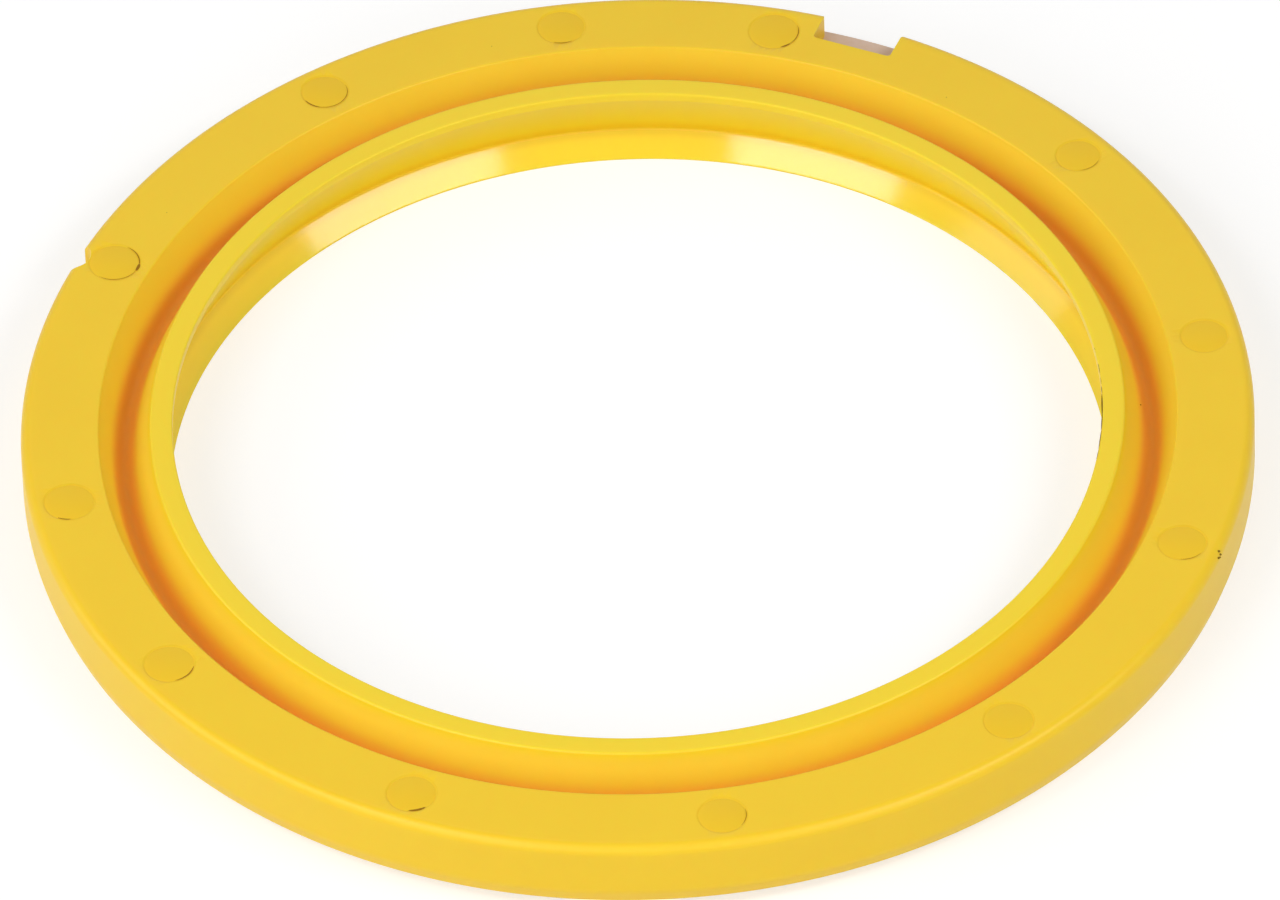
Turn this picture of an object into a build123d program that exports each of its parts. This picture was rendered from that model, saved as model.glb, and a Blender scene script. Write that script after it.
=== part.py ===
"""U cup rod seal: one ring moulded in polyurethane, its open groove upwards.

The origin is the centre of the heel, the flat face that the ring stands on, with +Z towards the lips.
All sizes are in millimetres, and angles run anticlockwise from +X as seen from above.
"""

import os
from math import radians, tan

from build123d import *

outer_diameter = 120.0

# Static lip: the thick outer lip, with the seat on its outside and the flat face on top
face_height = 9.0
face_width = 7.55
outer_edge_radius = 1.0
static_lip_lean = 23.5
groove_rim_chamfer = 0.2

# Groove between the lips: its width at the mouth, and the round that joins its two walls
groove_width = 5.1
groove_bottom_radius = 0.9

# Dynamic lip: the thin inner lip, which leans over the bore and keeps its thickness all the way down
lip_rise = 0.4
lip_crest_width = 2.15
lip_lean = 24.4
crest_edge_chamfer = 0.3
lip_edge_chamfer = 0.2
lip_land_height = 0.9

# Bore behind the lip: it widens down to the throat, then closes again to the heel
throat_height = 2.1
heel_bore_step = 0.35

# Heel: a steep lead-in that ends in the chamfer at the foot of the outer wall
lead_in_height = 1.45
lead_in_depth = 0.45
heel_chamfer = 1.75

# Gate pocket: a square-sided step in the outer edge, where the runner was cut off
gate_angle = 66.4
gate_width = 8.2
gate_reach = 3.9
gate_depth = 2.6

# Index notch: a half-round cut down the whole outer wall
notch_angle = 155.1
notch_radius = 1.9
notch_reach = 1.4

# Ejector marks: shallow round dimples in the flat face, at the places of the mould's pins
pin_mark_diameter = 4.5
pin_mark_depth = 0.1
pin_mark_angles = (8, 38, 75, 96, 122, 154.5, 190, 215, 246, 277, 308, 338)


def section_corners():
    """Corners of the half section as (radius, height), anticlockwise from the heel's bore edge."""
    seat = outer_diameter / 2
    rim = seat - face_width
    crest = rim - groove_width
    lip = crest - lip_crest_width
    crest_height = face_height + lip_rise
    lean = tan(radians(lip_lean))
    static_lean = tan(radians(static_lip_lean))

    # The groove's two straight walls would meet below its rounded bottom
    root_depth = (groove_width - lip_rise * lean) / (lean + static_lean)
    land_end = crest_height - lip_land_height
    lead_in_foot = seat - lead_in_depth
    return {
        "heel bore edge": (lip + heel_bore_step, 0),
        "heel outer edge": (lead_in_foot - heel_chamfer, 0),
        "lead-in foot": (lead_in_foot, heel_chamfer),
        "lead-in top": (seat, heel_chamfer + lead_in_height),
        "outer edge": (seat, face_height),
        "groove rim": (rim, face_height),
        "groove root": (rim - root_depth * static_lean, face_height - root_depth),
        "crest edge": (crest, crest_height),
        "lip edge": (lip, crest_height),
        "lip land end": (lip, land_end),
        "throat": (lip + (land_end - throat_height) * lean, throat_height),
    }


def ring_blank():
    """The section turned about the axis."""
    corners = section_corners()
    with BuildPart() as blank:
        with BuildSketch(Plane.XZ) as section:
            with BuildLine():
                Polyline(*corners.values(), close=True)
            make_face()

            def corner(name):
                return section.vertices().sort_by_distance(corners[name])[0]

            fillet(corner("outer edge"), outer_edge_radius)
            fillet(corner("groove root"), groove_bottom_radius)
            chamfer(corner("groove rim"), groove_rim_chamfer)
            chamfer(corner("crest edge"), crest_edge_chamfer)
            chamfer(corner("lip edge"), lip_edge_chamfer)
        revolve(axis=Axis.Z)
    return blank.part


def gate_pocket():
    """Block that cuts the pocket: its inner side is a chord of the ring, and its floor is level."""
    chord = outer_diameter / 2 - gate_reach
    block = Box(
        2 * gate_reach,
        gate_width,
        2 * gate_depth,
        align=(Align.MIN, Align.CENTER, Align.CENTER),
    )
    return Rot(0, 0, gate_angle) * Pos(chord, 0, face_height) * block


def index_notch():
    """Upright cylinder that cuts the half-round notch."""
    centre = outer_diameter / 2 - notch_reach + notch_radius
    cutter = Cylinder(notch_radius, 3 * face_height)
    return Rot(0, 0, notch_angle) * Pos(centre, 0, face_height / 2) * cutter


def ejector_marks():
    """Discs that sink the pin marks into the flat face, midway between its edges."""
    flat_outer = outer_diameter / 2 - outer_edge_radius
    flat_inner = outer_diameter / 2 - face_width + groove_rim_chamfer
    pin_circle_radius = (flat_outer + flat_inner) / 2
    disc = Cylinder(pin_mark_diameter / 2, 2 * pin_mark_depth)
    return [Rot(0, 0, angle) * Pos(pin_circle_radius, 0, face_height) * disc for angle in pin_mark_angles]


seal_ring = ring_blank() - gate_pocket() - index_notch() - ejector_marks()

os.makedirs("parts", exist_ok=True)
export_step(seal_ring, "parts/seal_ring.step")
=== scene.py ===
"""Polyurethane u cup seal, lips up, on a plain white floor under softboxes.

Lengths are written in millimetres and scaled by MM, except those of lamps, floor and camera, which
are in metres. Angles are in degrees, anticlockwise from +X as seen from above. The outer radius and
the height are read from the frame.
"""

from math import cos, hypot, pi, radians, sin, sqrt, tan

import bmesh
import bpy
from mathutils import Matrix, Vector


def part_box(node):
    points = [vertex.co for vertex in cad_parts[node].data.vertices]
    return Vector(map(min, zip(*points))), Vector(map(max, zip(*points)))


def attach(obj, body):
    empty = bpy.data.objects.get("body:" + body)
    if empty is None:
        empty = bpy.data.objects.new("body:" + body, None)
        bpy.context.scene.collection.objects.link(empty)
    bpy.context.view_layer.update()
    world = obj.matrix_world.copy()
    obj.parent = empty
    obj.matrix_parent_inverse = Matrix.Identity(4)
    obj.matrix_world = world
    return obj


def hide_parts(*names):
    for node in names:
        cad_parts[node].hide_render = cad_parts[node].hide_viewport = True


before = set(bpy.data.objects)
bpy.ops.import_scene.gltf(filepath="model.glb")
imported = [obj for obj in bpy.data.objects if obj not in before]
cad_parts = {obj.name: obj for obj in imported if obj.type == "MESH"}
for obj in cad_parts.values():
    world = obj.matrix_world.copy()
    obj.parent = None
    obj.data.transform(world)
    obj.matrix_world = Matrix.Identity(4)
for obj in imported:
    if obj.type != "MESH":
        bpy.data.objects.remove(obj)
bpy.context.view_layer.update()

MM = 0.001
LOW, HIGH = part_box("seal_ring")
SEAT = (HIGH.x - LOW.x) / 2 / MM
CREST_HEIGHT = HIGH.z / MM

# Section of the ring
LIP_RISE = 0.4
FACE_HEIGHT = CREST_HEIGHT - LIP_RISE
FACE_WIDTH = 7.55
GROOVE_WIDTH = 5.1
CREST_WIDTH = 2.15
LIP_LEAN = 24.4
STATIC_LEAN = 23.5
LAND_HEIGHT = 0.9
THROAT_HEIGHT = 2.1
HEEL_STEP = 0.35
LEAD_IN_HEIGHT = 1.45
LEAD_IN_DEPTH = 0.45
HEEL_CHAMFER = 1.75

# Radii of the groove's outer rim, of its inner rim and of the lip's edge in the bore
RIM = SEAT - FACE_WIDTH
CREST = RIM - GROOVE_WIDTH
LIP = CREST - CREST_WIDTH

# Rounding radius at each corner of the section, and the steps in it
ROUNDS = {
    "heel_inside": (0.15, 3),
    "heel_outside": (0.3, 4),
    "foot": (0.4, 4),
    "lead_in_top": (2.5, 4),
    "outer_edge": (1.0, 12),
    "groove_rim": (0.25, 6),
    "groove_bottom": (0.9, 14),
    "crest_outside": (0.3, 7),
    "crest_inside": (0.2, 5),
    "land_end": (0.3, 4),
    "throat": (0.35, 6),
}
SPIN_STEPS = 480
# Edges that turn by more than this stay sharp
SHARP_ANGLE = 28

# Cuts in the ring. The gate pocket's mouth is rounded, and its cutter flares out past the ring.
GATE = {
    "angle": 66.4,
    "width": 8.2,
    "reach": 3.9,
    "depth": 2.6,
    "corner": 0.4,
    "mouth": 0.9,
    "flare": 2,
    "corner_steps": 8,
}
NOTCH = {"angle": 155.1, "radius": 1.9, "reach": 1.4, "steps": 96}

# Marks of the ejector pins: a sunk disc with a deeper moat round it
PIN_CIRCLE = 56.1
PIN_SINK = 0.05
PIN_STEPS = 72
MOAT_WIDTH = 0.2
MOAT_DEPTH = 0.09
# Angle and diameter of each mark
PIN_MARKS = (
    (8.3, 4.5),
    (37.9, 4.3),
    (74.6, 4.9),
    (96.3, 4.6),
    (122.0, 4.5),
    (154.6, 4.9),
    (189.8, 4.8),
    (215.3, 4.8),
    (246.0, 4.7),
    (276.9, 4.6),
    (307.9, 4.7),
    (338.3, 4.6),
)

# Flash by the pin marks, dark brown as painted shade on their lower and right sides: which mark, from
# and to what angle round it, and how wide
FLASH_PAINTED_SHADE = (
    (74.6, -76, -50, 0.16),
    (74.6, -60, 18, 0.07),
    (96.3, -112, -62, 0.08),
    (122.0, -150, -100, 0.12),
    (122.0, -110, 25, 0.06),
    (154.6, -22, 60, 0.09),
    (154.6, -32, -8, 0.3),
    (154.6, -130, -30, 0.06),
    (189.8, -118, -86, 0.1),
    (215.3, -78, -10, 0.11),
    (246.0, -98, -56, 0.24),
    (276.9, -40, 20, 0.05),
    (338.3, -100, -40, 0.05),
    (37.9, -90, -20, 0.05),
)
FLASH_PAINTED_SHADE_THICKNESS = 0.05
FLASH_PAINTED_SHADE_STEPS = 10
# Flash along the lip's edge, dark as a painted shadow line under the edge: from and to what angle, and
# how wide
LIP_FLASH_PAINTED_SHADOW = (
    (-12, -9.5, 0.1),
    (-10, -6, 0.16),
    (-6.5, -3, 0.2),
    (-4, 0.3, 0.26),
    (0, 1.6, 0.12),
    (1.2, 3.6, 0.07),
    (3.2, 6, 0.09),
    (6.5, 9.8, 0.06),
)
LIP_FLASH_PAINTED_SHADOW_DROP = 0.09
LIP_FLASH_PAINTED_SHADOW_INSET = 0.06
LIP_FLASH_PAINTED_SHADOW_THICKNESS = 0.06
LIP_FLASH_PAINTED_SHADOW_STEPS = 30
# What is left of a sliver's thickness at its two ends
SLIVER_END = 0.05

# Dust: radius, angle, height and size of each grain, and how long, wide and high a grain is for it
SPECKS = (
    (59.72, 338.55, 8.72, 0.3),
    (59.9, 338.45, 8.45, 0.28),
    (59.94, 338.2, 8.32, 0.22),
    (59.88, 337.95, 8.45, 0.3),
    (49.0, 1.0, 6.9, 0.13),
    (53.8, 54.0, 9.0, 0.09),
    (54.9, 103.8, 9.0, 0.09),
    (55.0, 145.8, 9.0, 0.08),
    (46.4, 160.0, 6.2, 0.1),
)
SPECK_SHAPE = (0.55, 0.45, 0.35)

# Sizes of the body's faint clouds, of the skin's moulded grain and of torn fibres. The real grain is
# under 0.1 and wouldn't show, so it is drawn as coarse as it needs to show.
CLOUD_SIZE = 9.0
GRAIN_SIZE = 0.4
FIBRE_SIZE = 0.8

# Painted glow of the light that the thin lip lets through: its paler colour, and the radii at which it
# is absent and full
LIP_PAINTED_GLOW_COLOUR = "#FAD822"
LIP_PAINTED_GLOW = (CREST + 0.5, CREST - 0.1)
# Painted bounce light: the orange that light takes deep in the groove, its colour, and the measures at
# which it is absent and full
GROOVE_PAINTED_BOUNCE_COLOUR = "#F9AC44"
GROOVE_PAINTED_BOUNCE = (
    ("radius", CREST + 0.9, CREST + 1.6),
    ("height", FACE_HEIGHT - 2.2, 4.5),
    ("height", 3.0, 3.5),
    ("radius", SEAT - 7, SEAT - 7.5),
)

# Lamps: azimuth and elevation of each end of the long side, then breadth and brightness
LAMP_DISTANCE = 0.8
SOFTBOXES = (
    ("strip_high_left", ((239.6, 55.7), (199.7, 46.3)), 0.13, 8.6),
    ("strip_high_right", ((306.8, 54.7), (352.9, 41.2)), 0.17, 7.3),
    ("low_front_left", ((218, 25), (262, 25)), 0.4, 1.9),
    ("low_front_right", ((278, 25), (322, 25)), 0.4, 1.35),
    ("low_left", ((158, 25), (202, 25)), 0.4, 1.9),
    ("low_back", ((68, 35), (112, 35)), 0.4, 0.5),
)
WORLD_FILL = 0.21

# The floor's half width, its own shade, and the shade and glow that it shows to the eye
FLOOR_REACH = 3
FLOOR_SHADE = "#E7E7E7"
FLOOR_SEEN_SHADE = "#BCBCBC"
FLOOR_SEEN_GLOW = 0.6

CAMERA = {
    "elevation": 43.84,
    "roll": -2.05,
    "distance": 2.0,
    "aim_mm": (0.15, 2.24, 1.90),
    "lens_mm": 576.8,
    "sensor_mm": 36,
}


def on_ring(radius, angle, height):
    """Point at that radius, angle and height, in metres."""
    turn = radians(angle)
    return Vector((radius * cos(turn), radius * sin(turn), height)) * MM


def section_corners():
    """Radius and height of each corner of the half section, in order round it."""
    lean = tan(radians(LIP_LEAN))
    static_lean = tan(radians(STATIC_LEAN))
    root_depth = (GROOVE_WIDTH - LIP_RISE * lean) / (lean + static_lean)
    land_end = CREST_HEIGHT - LAND_HEIGHT
    foot = SEAT - LEAD_IN_DEPTH
    return {
        "heel_inside": (LIP + HEEL_STEP, 0),
        "heel_outside": (foot - HEEL_CHAMFER, 0),
        "foot": (foot, HEEL_CHAMFER),
        "lead_in_top": (SEAT, HEEL_CHAMFER + LEAD_IN_HEIGHT),
        "outer_edge": (SEAT, FACE_HEIGHT),
        "groove_rim": (RIM, FACE_HEIGHT),
        "groove_bottom": (RIM - root_depth * static_lean, FACE_HEIGHT - root_depth),
        "crest_outside": (CREST, CREST_HEIGHT),
        "crest_inside": (LIP, CREST_HEIGHT),
        "land_end": (LIP, land_end),
        "throat": (LIP + (land_end - THROAT_HEIGHT) * lean, THROAT_HEIGHT),
    }


def round_corner(bm, vert, radius, steps):
    """Rounds one corner of a flat outline."""
    ahead, behind = (edge.other_vert(vert).co - vert.co for edge in vert.link_edges)
    setback = radius / tan(ahead.angle(behind) / 2)
    bmesh.ops.bevel(
        bm,
        geom=[vert],
        offset=setback,
        offset_type="OFFSET",
        segments=steps,
        profile=0.5,
        affect="VERTICES",
        material=-1,
    )


def close(bm):
    """Merges doubled vertices and turns the faces outwards."""
    bmesh.ops.remove_doubles(bm, verts=bm.verts, dist=1e-7)
    bmesh.ops.recalc_face_normals(bm, faces=bm.faces)


def finished(bm, name, materials):
    """Turns the bmesh into an object at the origin that has those materials."""
    mesh = bpy.data.meshes.new(name)
    bm.to_mesh(mesh)
    bm.free()
    for material in materials:
        mesh.materials.append(material)
    obj = bpy.data.objects.new(name, mesh)
    bpy.context.scene.collection.objects.link(obj)
    return obj


def spun_ring():
    """The rounded section, spun once round the axis."""
    bm = bmesh.new()
    verts = {
        name: bm.verts.new(Vector((r, 0, z)) * MM) for name, (r, z) in section_corners().items()
    }
    bm.faces.new(list(verts.values()))
    for name, vert in verts.items():
        radius, steps = ROUNDS[name]
        round_corner(bm, vert, radius * MM, steps)
    bmesh.ops.delete(bm, geom=list(bm.faces), context="FACES_ONLY")
    bmesh.ops.spin(
        bm,
        geom=bm.verts[:] + bm.edges[:],
        axis=(0, 0, 1),
        angle=2 * pi,
        steps=SPIN_STEPS,
        use_merge=True,
    )
    close(bm)
    return bm


def gate_cutter():
    """Block whose inner side is the pocket's wall. It flares at the mouth, to round the corners."""
    bm = bmesh.new()
    wall = SEAT - GATE["reach"]
    half = GATE["width"] / 2
    mouth = sqrt(SEAT**2 - half**2)
    flare = GATE["flare"]
    spread = mouth + flare * half / mouth
    outline = (
        (wall, half, GATE["corner"]),
        (wall, -half, GATE["corner"]),
        (mouth, -half, GATE["mouth"]),
        (spread, -half - flare, 0),
        (SEAT + flare, -half - flare, 0),
        (SEAT + flare, half + flare, 0),
        (spread, half + flare, 0),
        (mouth, half, GATE["mouth"]),
    )
    floor_height = FACE_HEIGHT - GATE["depth"]
    verts = [bm.verts.new(Vector((x, y, floor_height)) * MM) for x, y, _ in outline]
    bm.faces.new(verts)
    for vert, (_, _, radius) in zip(verts, outline):
        if radius:
            round_corner(bm, vert, radius * MM, GATE["corner_steps"])
    made = bmesh.ops.extrude_face_region(bm, geom=bm.faces[:])
    top = [v for v in made["geom"] if isinstance(v, bmesh.types.BMVert)]
    bmesh.ops.translate(bm, verts=top, vec=(0, 0, 2 * GATE["depth"] * MM))
    bmesh.ops.recalc_face_normals(bm, faces=bm.faces)
    turn = Matrix.Rotation(radians(GATE["angle"]), 4, "Z")
    bmesh.ops.transform(bm, matrix=turn, verts=bm.verts)
    return bm


def notch_cutter():
    """Upright cylinder for the half-round notch."""
    bm = bmesh.new()
    centre = on_ring(SEAT - NOTCH["reach"] + NOTCH["radius"], NOTCH["angle"], FACE_HEIGHT / 2)
    bmesh.ops.create_cone(
        bm,
        cap_ends=True,
        segments=NOTCH["steps"],
        radius1=NOTCH["radius"] * MM,
        radius2=NOTCH["radius"] * MM,
        depth=3 * FACE_HEIGHT * MM,
        matrix=Matrix.Translation(centre),
    )
    return bm


def pin_cutter():
    """Shallow discs with a soft dip round the edge of each, as the pins leave them."""
    bm = bmesh.new()
    for angle, diameter in PIN_MARKS:
        edge = diameter / 2
        outline = (
            (0, MOAT_DEPTH),
            (edge + 2 * MOAT_WIDTH, MOAT_DEPTH),
            (edge, -MOAT_DEPTH),
            (edge - MOAT_WIDTH, -PIN_SINK),
            (0, -PIN_SINK),
        )
        old = set(bm.verts)
        verts = [bm.verts.new(Vector((r, 0, z)) * MM) for r, z in outline]
        edges = [bm.edges.new(pair) for pair in zip(verts, verts[1:])]
        bmesh.ops.spin(
            bm,
            geom=verts + edges,
            axis=(0, 0, 1),
            angle=2 * pi,
            steps=PIN_STEPS,
            use_merge=True,
        )
        disc = [vert for vert in bm.verts if vert not in old]
        bmesh.ops.translate(bm, verts=disc, vec=on_ring(PIN_CIRCLE, angle, FACE_HEIGHT))
    close(bm)
    return bm


def cut(obj, cutter_bm, name, materials):
    """Cuts that shape out of the object, for good."""
    cutter = finished(cutter_bm, name, materials)
    boolean = obj.modifiers.new(name, "BOOLEAN")
    boolean.operation = "DIFFERENCE"
    boolean.solver = "EXACT"
    boolean.object = cutter
    boolean.material_mode = "TRANSFER"
    depsgraph = bpy.context.evaluated_depsgraph_get()
    mesh = bpy.data.meshes.new_from_object(obj.evaluated_get(depsgraph))
    obj.modifiers.remove(boolean)
    obj.data = mesh
    bpy.data.objects.remove(cutter)


def give_finish(obj, slot_index, wanted):
    """Gives that material slot to the faces whose centre's radius and height, in mm, are wanted."""
    for face in obj.data.polygons:
        x, y, z = face.center / MM
        if wanted(hypot(x, y), z):
            face.material_index = slot_index


def shade(obj):
    """Smooth shading that keeps the flats flat and the sharp edges sharp."""
    bm = bmesh.new()
    bm.from_mesh(obj.data)
    for face in bm.faces:
        face.smooth = True
    for edge in bm.edges:
        edge.smooth = edge.is_manifold and edge.calc_face_angle() < radians(SHARP_ANGLE)
    bm.to_mesh(obj.data)
    bm.free()
    weighted = obj.modifiers.new("flat_faces", "WEIGHTED_NORMAL")
    weighted.keep_sharp = True


def linear(code):
    """An sRGB hex colour as linear RGBA."""
    channels = (int(code[i : i + 2], 16) / 255 for i in (1, 3, 5))
    return *(c / 12.92 if c <= 0.04045 else ((c + 0.055) / 1.055) ** 2.4 for c in channels), 1


def add_node(tree, kind, settings, inputs):
    """Adds a node. settings are its properties, and inputs are values or the sockets that feed it."""
    node = tree.nodes.new(kind)
    for name, value in settings.items():
        setattr(node, name, value)
    for name, value in inputs.items():
        if isinstance(value, bpy.types.NodeSocket):
            tree.links.new(value, node.inputs[name])
        else:
            node.inputs[name].default_value = value
    return node


def new_material(name):
    """An empty node material and its tree."""
    material = bpy.data.materials.new(name)
    material.use_nodes = True
    material.node_tree.nodes.clear()
    return material, material.node_tree


def give_surface(tree, inputs):
    """Ends the material's tree in a Principled shader with those inputs."""
    shader = add_node(tree, "ShaderNodeBsdfPrincipled", {}, inputs)
    add_node(tree, "ShaderNodeOutputMaterial", {}, {"Surface": shader.outputs["BSDF"]})


def polyurethane(name, light_hex, deep_hex, roughness, specular):
    """Moulded polyurethane elastomer: a fine-grained skin over a slightly cloudy, waxy body.

    The light that the thin lip lets through is painted into its colour as a paler yellow, and the
    light that crosses the groove from wall to wall is painted as orange towards its bottom.
    """
    material, tree = new_material(name)
    place = add_node(tree, "ShaderNodeTexCoord", {}, {}).outputs["Object"]
    height = add_node(tree, "ShaderNodeSeparateXYZ", {}, {"Vector": place}).outputs["Z"]
    flat = add_node(
        tree, "ShaderNodeVectorMath", {"operation": "MULTIPLY"}, {0: place, 1: (1, 1, 0)}
    ).outputs["Vector"]
    radius = add_node(
        tree, "ShaderNodeVectorMath", {"operation": "LENGTH"}, {0: flat}
    ).outputs["Value"]
    measures = {"radius": radius, "height": height}
    # Painted bounce light: the colour turns orange towards the groove's bottom, where light crosses
    # from wall to wall
    groove_painted_bounce = 1
    for kind, absent, full in GROOVE_PAINTED_BOUNCE:
        fade = add_node(
            tree,
            "ShaderNodeMapRange",
            {"interpolation_type": "SMOOTHSTEP"},
            {"Value": measures[kind], "From Min": absent * MM, "From Max": full * MM},
        )
        groove_painted_bounce = add_node(
            tree,
            "ShaderNodeMath",
            {"operation": "MULTIPLY"},
            {0: groove_painted_bounce, 1: fade.outputs["Result"]},
        ).outputs[0]
    # Painted glow: the thin lip is paler, for the light that it lets through
    lip_painted_glow = add_node(
        tree,
        "ShaderNodeMapRange",
        {"interpolation_type": "SMOOTHSTEP"},
        {"Value": radius, "From Min": LIP_PAINTED_GLOW[0] * MM, "From Max": LIP_PAINTED_GLOW[1] * MM},
    ).outputs["Result"]
    clouds = add_node(
        tree, "ShaderNodeTexNoise", {}, {"Vector": place, "Scale": 1 / (CLOUD_SIZE * MM), "Detail": 3}
    ).outputs["Fac"]
    colour = linear(deep_hex)
    for share, over in (
        (clouds, light_hex),
        (lip_painted_glow, LIP_PAINTED_GLOW_COLOUR),
        (groove_painted_bounce, GROOVE_PAINTED_BOUNCE_COLOUR),
    ):
        colour = add_node(
            tree, "ShaderNodeMix", {"data_type": "RGBA"}, {"Factor": share, 6: colour, 7: linear(over)}
        ).outputs[2]
    grain = add_node(
        tree, "ShaderNodeTexNoise", {}, {"Vector": place, "Scale": 1 / (GRAIN_SIZE * MM), "Detail": 2}
    ).outputs["Fac"]
    skin = add_node(
        tree, "ShaderNodeBump", {}, {"Strength": 0.15, "Distance": 0.02 * MM, "Height": grain}
    ).outputs["Normal"]
    give_surface(
        tree,
        {
            "Base Color": colour,
            "Roughness": roughness,
            "IOR": 1.5,
            "Specular IOR Level": specular,
            "Subsurface Weight": 0.3,
            "Subsurface Radius": (1.0, 0.45, 0.1),
            "Subsurface Scale": 1.5 * MM,
            "Normal": skin,
        },
    )
    return material


def cut_polyurethane_painted_reflection():
    """Cut and torn polyurethane, matt and slightly rough, painted pale pink as a reflection of the
    white surroundings.
    """
    material, tree = new_material("cut_polyurethane_painted_reflection")
    place = add_node(tree, "ShaderNodeTexCoord", {}, {}).outputs["Object"]
    fibre = add_node(
        tree, "ShaderNodeTexNoise", {}, {"Vector": place, "Scale": 1 / (FIBRE_SIZE * MM), "Detail": 4}
    ).outputs["Fac"]
    # Painted reflection: the pale pink stands for the white surroundings mirrored on the cut face
    colour = add_node(
        tree,
        "ShaderNodeMix",
        {"data_type": "RGBA"},
        {"Factor": fibre, 6: linear("#DDBDA0"), 7: linear("#E4CCBE")},
    ).outputs[2]
    relief = add_node(
        tree, "ShaderNodeBump", {}, {"Strength": 0.5, "Distance": 0.1 * MM, "Height": fibre}
    ).outputs["Normal"]
    give_surface(tree, {"Base Color": colour, "Roughness": 0.6, "IOR": 1.5, "Normal": relief})
    return material


def plain(name, colour_hex, roughness):
    """A dull film or grain of one colour, too small to show more than that colour."""
    material, tree = new_material(name)
    give_surface(
        tree,
        {"Base Color": linear(colour_hex), "Roughness": roughness, "Specular IOR Level": 0.1},
    )
    return material


def on_groove(radius, height):
    """The groove's walls and bottom, without the roundings of its two rims."""
    return CREST + 0.1 < radius < CREST + GROOVE_WIDTH and 4 < height < FACE_HEIGHT - 0.3


def on_lower_bevel(radius, height):
    """The bore from the heel to the throat."""
    return radius < RIM and 0.1 < height < THROAT_HEIGHT - 0.1


def on_gate_floor(radius, height):
    """Where the runner was cut off."""
    floor_height = FACE_HEIGHT - GATE["depth"]
    return radius > SEAT - GATE["reach"] and abs(height - floor_height) < 0.01


def build_seal():
    """The seal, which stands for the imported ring."""
    # A soft sheen, with a thin bright line along each rounded edge
    satin = polyurethane("satin_moulded_polyurethane", "#F9D01C", "#F5CA18", 0.42, 0.45)
    # No highlight, from a textured core, so the groove shows only its colour, with the painted orange
    # of bounced light deep in it
    matt = polyurethane("matt_moulded_polyurethane", "#FBD63C", "#F7D038", 0.6, 0.12)
    # Clear reflections of the two strip lamps, from a polished core
    polished = polyurethane("polished_bore_polyurethane", "#F1CF1D", "#EDC919", 0.11, 0.4)
    # A shade deeper and duller than the face, so that each mark reads as a disc
    pin_face = polyurethane("pin_faced_polyurethane", "#F5CA1E", "#F0C41A", 0.5, 0.4)
    torn = cut_polyurethane_painted_reflection()
    ring = finished(spun_ring(), "seal_ring_moulding", [satin, matt, polished, torn])
    give_finish(ring, 1, on_groove)
    give_finish(ring, 2, on_lower_bevel)
    cut(ring, pin_cutter(), "pin_cutter", [pin_face])
    cut(ring, gate_cutter(), "gate_cutter", [satin])
    cut(ring, notch_cutter(), "notch_cutter", [satin])
    give_finish(ring, 3, on_gate_floor)
    shade(ring)
    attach(ring, "root")
    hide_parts("seal_ring")


def sliver(bm, centre, radius, start, end, width, thickness, steps):
    """Thin strip that bends round a centre from one angle to the other, pointed at both ends."""
    middle = radians((start + end) / 2)
    half = radians((end - start) / 2)
    outline = ((-0.5, 0), (0, 0.5), (0.5, 0), (0, -0.5))
    old = set(bm.verts)
    verts = [
        bm.verts.new(Vector((radius + u * width, 0, v * thickness)) * MM) for u, v in outline
    ]
    edges = [bm.edges.new(pair) for pair in zip(verts, verts[1:] + verts[:1])]
    bmesh.ops.rotate(bm, verts=verts, matrix=Matrix.Rotation(middle - half, 3, "Z"))
    bmesh.ops.spin(bm, geom=verts + edges, axis=(0, 0, 1), angle=2 * half, steps=steps)
    strip = [vert for vert in bm.verts if vert not in old]
    ray = Vector((cos(middle), sin(middle), 0))
    for vert in strip:
        flat = Vector((vert.co.x, vert.co.y, 0))
        share = min(1, flat.angle(ray) / half)
        spine = flat.normalized() * radius * MM
        vert.co = spine + (vert.co - spine) * max(sqrt(1 - share**2), SLIVER_END)
    bmesh.ops.holes_fill(bm, edges=[e for e in bm.edges if e.is_boundary], sides=4)
    bmesh.ops.translate(bm, verts=strip, vec=centre)


def build_pin_flash_painted_shade():
    """Thin slivers of flash along some of the pin marks, dark as painted shade."""
    bm = bmesh.new()
    sizes = dict(PIN_MARKS)
    for angle, start, end, width in FLASH_PAINTED_SHADE:
        centre = on_ring(PIN_CIRCLE, angle, FACE_HEIGHT)
        sliver(bm, centre, sizes[angle] / 2, start, end, width, FLASH_PAINTED_SHADE_THICKNESS, FLASH_PAINTED_SHADE_STEPS)
    bmesh.ops.recalc_face_normals(bm, faces=bm.faces)
    # Brown and dull as painted shade, so it reads as a thin broken line
    flash_with_painted_shade = finished(bm, "pin_flash_painted_shade", [plain("painted_shade_brown", "#9C6E12", 0.5)])
    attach(flash_with_painted_shade, "root")


def build_lip_flash_painted_shadow():
    """Film of flash left along the lip's edge, on the right of the bore, dark as a painted shadow."""
    bm = bmesh.new()
    centre = on_ring(0, 0, CREST_HEIGHT - LIP_FLASH_PAINTED_SHADOW_DROP)
    radius = LIP + LIP_FLASH_PAINTED_SHADOW_INSET
    for start, end, width in LIP_FLASH_PAINTED_SHADOW:
        sliver(bm, centre, radius, start, end, width, LIP_FLASH_PAINTED_SHADOW_THICKNESS, LIP_FLASH_PAINTED_SHADOW_STEPS)
    bmesh.ops.recalc_face_normals(bm, faces=bm.faces)
    # Dark and dull as painted shadow, so the lip's edge has a thin dark line there
    flash_with_painted_shade = finished(bm, "lip_flash_painted_shadow", [plain("painted_shadow_dark", "#6A4E12", 0.8)])
    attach(flash_with_painted_shade, "root")


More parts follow.
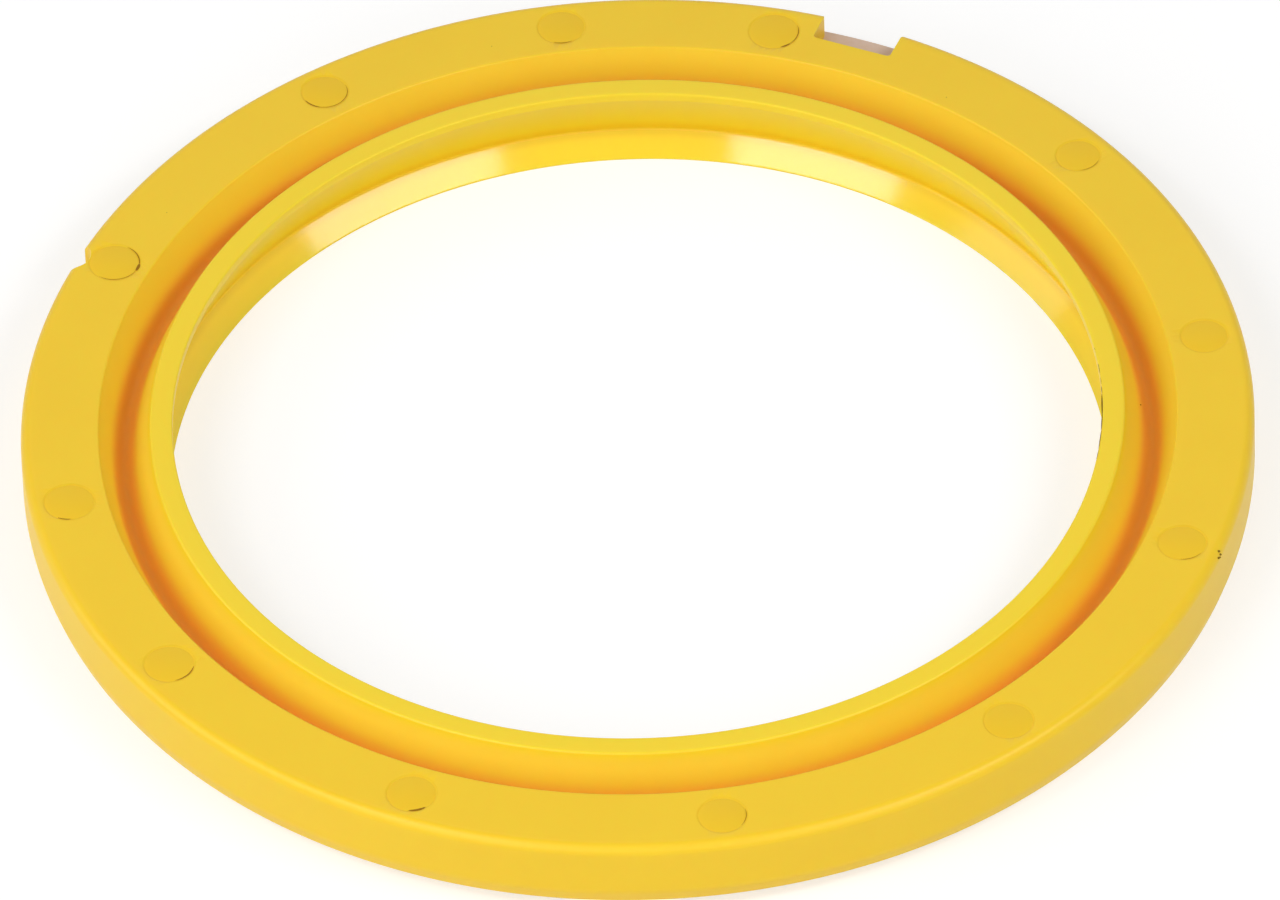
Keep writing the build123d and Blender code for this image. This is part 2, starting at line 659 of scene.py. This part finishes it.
def build_specks():
    """Grains of dark dust that cling to the ring."""
    bm = bmesh.new()
    shape = Matrix.Diagonal((*SPECK_SHAPE, 1))
    for radius, angle, height, size in SPECKS:
        turn = Matrix.Rotation(radians(angle), 4, "Z")
        place = Matrix.Translation(on_ring(radius, angle, height)) @ turn
        bmesh.ops.create_icosphere(bm, subdivisions=2, radius=size * MM, matrix=place @ shape)
    # Dull and dark, so each grain is a small dot
    specks = finished(bm, "dust_specks", [plain("dark_dust", "#86661A", 0.7)])
    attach(specks, "root")


def seen(tree):
    """1 for rays that come from the eye or by way of a mirror or glass, 0 for rays of light."""
    path = add_node(tree, "ShaderNodeLightPath", {}, {})
    result = path.outputs["Is Camera Ray"]
    for kind in ("Is Glossy Ray", "Is Transmission Ray"):
        inputs = {0: result, 1: path.outputs[kind]}
        result = add_node(tree, "ShaderNodeMath", {"operation": "MAXIMUM"}, inputs).outputs[0]
    return result


def floor():
    """Plain white floor. It shows white, darkened only by the seal's own shadow."""
    bm = bmesh.new()
    bmesh.ops.create_grid(bm, x_segments=1, y_segments=1, size=FLOOR_REACH)
    material, tree = new_material("matt_white_floor")
    matt = add_node(tree, "ShaderNodeBsdfDiffuse", {}, {"Color": linear(FLOOR_SHADE)})
    shown = add_node(tree, "ShaderNodeBsdfDiffuse", {}, {"Color": linear(FLOOR_SEEN_SHADE)})
    glow = add_node(
        tree, "ShaderNodeEmission", {}, {"Color": (1, 1, 1, 1), "Strength": FLOOR_SEEN_GLOW}
    )
    white = add_node(tree, "ShaderNodeAddShader", {}, {0: shown.outputs[0], 1: glow.outputs[0]})
    mixed = add_node(
        tree,
        "ShaderNodeMixShader",
        {},
        {0: seen(tree), 1: matt.outputs[0], 2: white.outputs[0]},
    )
    add_node(tree, "ShaderNodeOutputMaterial", {}, {"Surface": mixed.outputs[0]})
    obj = finished(bm, "floor", [material])


def direction(azimuth, elevation):
    """Unit vector towards that azimuth, anticlockwise from +X, and height above the floor."""
    level = cos(radians(elevation))
    turn = radians(azimuth)
    return Vector((cos(turn) * level, sin(turn) * level, sin(radians(elevation))))


def softbox(name, ends, breadth, level):
    """Softbox whose long side runs between those directions. A level of 1 is as bright as white."""
    first, last = (direction(*end) * LAMP_DISTANCE for end in ends)
    along = (last - first).normalized()
    away = ((first + last) / 2).normalized()
    across = away.cross(along).normalized()
    away = along.cross(across)
    data = bpy.data.lights.new(name, "AREA")
    data.shape = "RECTANGLE"
    data.size = (last - first).length
    data.size_y = breadth
    data.energy = level * pi * data.size * data.size_y
    lamp = bpy.data.objects.new(name, data)
    turn = Matrix((along, across, away)).transposed().to_4x4()
    lamp.matrix_world = Matrix.Translation((first + last) / 2) @ turn
    lamp.visible_camera = False
    bpy.context.scene.collection.objects.link(lamp)


def surroundings():
    """World: white where it is seen or mirrored, and a plain fill everywhere else."""
    world = bpy.data.worlds.new("studio")
    world.use_nodes = True
    tree = world.node_tree
    tree.nodes.clear()
    level = add_node(
        tree, "ShaderNodeMapRange", {}, {"Value": seen(tree), "To Min": WORLD_FILL, "To Max": 1}
    )
    shown = add_node(
        tree, "ShaderNodeBackground", {}, {"Color": (1, 1, 1, 1), "Strength": level.outputs[0]}
    )
    add_node(tree, "ShaderNodeOutputWorld", {}, {"Surface": shown.outputs[0]})
    bpy.context.scene.world = world


def camera():
    """Long lens, looking down at the seal from the front."""
    elevation = radians(CAMERA["elevation"])
    data = bpy.data.cameras.new("camera")
    data.sensor_width = CAMERA["sensor_mm"]
    data.lens = CAMERA["lens_mm"]
    data.clip_start = 0.1
    data.clip_end = 20
    obj = bpy.data.objects.new("camera", data)
    aim = Vector(CAMERA["aim_mm"]) * MM
    back = Vector((0, -cos(elevation), sin(elevation))) * CAMERA["distance"]
    tilt = Matrix.Rotation(pi / 2 - elevation, 4, "X")
    roll = Matrix.Rotation(radians(CAMERA["roll"]), 4, "Z")
    obj.matrix_world = Matrix.Translation(aim + back) @ tilt @ roll
    bpy.context.scene.collection.objects.link(obj)
    bpy.context.scene.camera = obj


build_seal()
build_pin_flash_painted_shade()
build_lip_flash_painted_shadow()
build_specks()
floor()
for name, ends, breadth, level in SOFTBOXES:
    softbox(name, ends, breadth, level)
surroundings()
camera()

bpy.context.scene.view_settings.view_transform = "Standard"
